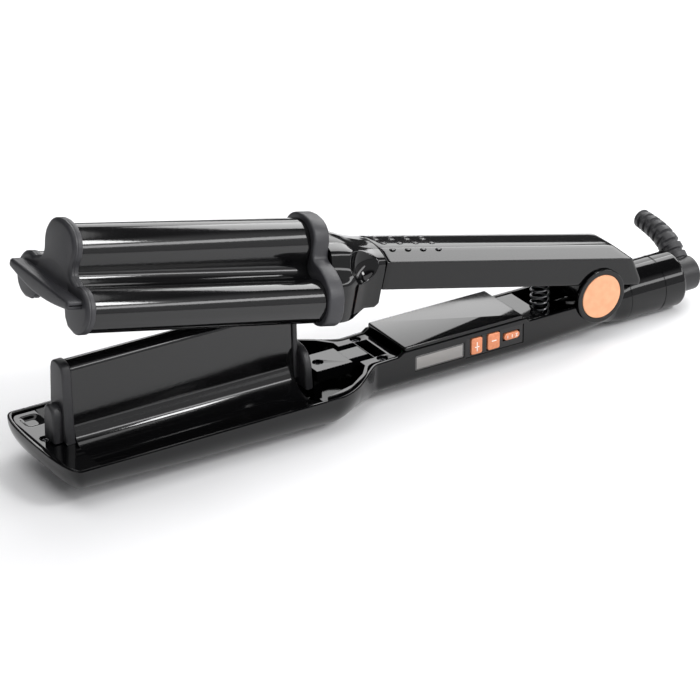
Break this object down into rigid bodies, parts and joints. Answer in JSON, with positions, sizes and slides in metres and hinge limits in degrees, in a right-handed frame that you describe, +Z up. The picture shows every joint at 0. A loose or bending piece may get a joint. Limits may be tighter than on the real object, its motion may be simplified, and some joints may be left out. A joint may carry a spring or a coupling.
{
  "type": "hair crimper",
  "caption": "Sprung hair crimper: tall ridge plate in a wide tray below, two-lobed plate above, grips hinged near a swivelling cord outlet, with display and keys.",
  "frame": {"origin": "on the resting face, in the middle of the keel under the tray", "axes": "+X along the tool towards the cord end, +Z up from the resting face, -Y towards the side with the display and keys"},
  "size_m": [0.3304, 0.0625, 0.1126],
  "materials": {
    "gloss_black_case": "high gloss",
    "coated_plate": "gloss ceramic coating",
    "heater_ceramic": "matt",
    "matte_cap": "matt moulded",
    "display_lens": "clear over grey",
    "panel_black": "satin",
    "copper_key": "metallic lacquer",
    "circuit_board": "satin",
    "dark_screw": "blackened",
    "steel": "ground",
    "ring_black": "gloss",
    "copper_disc": "satin copper lacquer",
    "matte_head": "matt",
    "relief_rubber": "matt"
  },
  "bodies": {
    "lower_arm": {"lower_housing": "gloss_black_case", "front_deck": "gloss_black_case", "rear_deck": "gloss_black_case", "plate_bracket": "gloss_black_case", "lower_wave_plate": "coated_plate", "lower_heater": "heater_ceramic", "lower_front_cap": "matte_cap", "lower_rear_cap": "matte_cap", "lower_grip_cover": "gloss_black_case", "well_cover": "gloss_black_case", "display_window": "display_lens", "display_module": "display_lens", "button_panel": "panel_black", "control_board": "circuit_board", "tact_switches": "panel_black", "deck_screws": "dark_screw", "hinge_pin": "steel", "hinge_ring_near": "ring_black", "hinge_ring_far": "ring_black", "hinge_disc_near": "copper_disc", "hinge_disc_far": "copper_disc", "opening_spring": "steel", "lower_spring_seat": "panel_black", "tail_barrel": "gloss_black_case", "cable_clamp": "panel_black"},
    "upper_arm": {"upper_wave_plate": "coated_plate", "upper_heaters": "heater_ceramic", "upper_front_cap": "matte_cap", "upper_front_screws": "dark_screw", "upper_rear_cap": "matte_cap", "upper_neck": "gloss_black_case", "upper_top_cover": "gloss_black_case", "upper_inner_cover": "panel_black"},
    "cord_swivel": {"swivel_head": "matte_head", "strain_relief": "relief_rubber"},
    "plus_key": {"plus_button": "copper_key"},
    "minus_key": {"minus_button": "copper_key"},
    "power_key": {"power_button": "copper_key"}
  },
  "joints": [
    {"name": "arm_hinge", "type": "hinge", "parent": "lower_arm", "child": "upper_arm", "pos_m": [0.20125, 0, 0.0225], "axis": [0, 1, 0], "range_deg": [-12.15, 0], "stiffness_Nm_per_rad": 1.6, "springref_deg": 20.05, "deforming": ["opening_spring"]},
    {"name": "cord_turn", "type": "hinge", "parent": "lower_arm", "child": "cord_swivel", "pos_m": [0.25725, 0, 0.0126], "axis": [1, 0, 0], "continuous": true},
    {"name": "plus_press", "type": "slide", "parent": "lower_arm", "child": "plus_key", "axis": [0, 1, 0], "range_m": [0, 0.0006], "stiffness_N_per_m": 400, "springref_m": -0.0008},
    {"name": "minus_press", "type": "slide", "parent": "lower_arm", "child": "minus_key", "axis": [0, 1, 0], "range_m": [0, 0.0006], "stiffness_N_per_m": 400, "springref_m": -0.0008},
    {"name": "power_press", "type": "slide", "parent": "lower_arm", "child": "power_key", "axis": [0, 1, 0], "range_m": [0, 0.0006], "stiffness_N_per_m": 400, "springref_m": -0.0008}
  ]
}
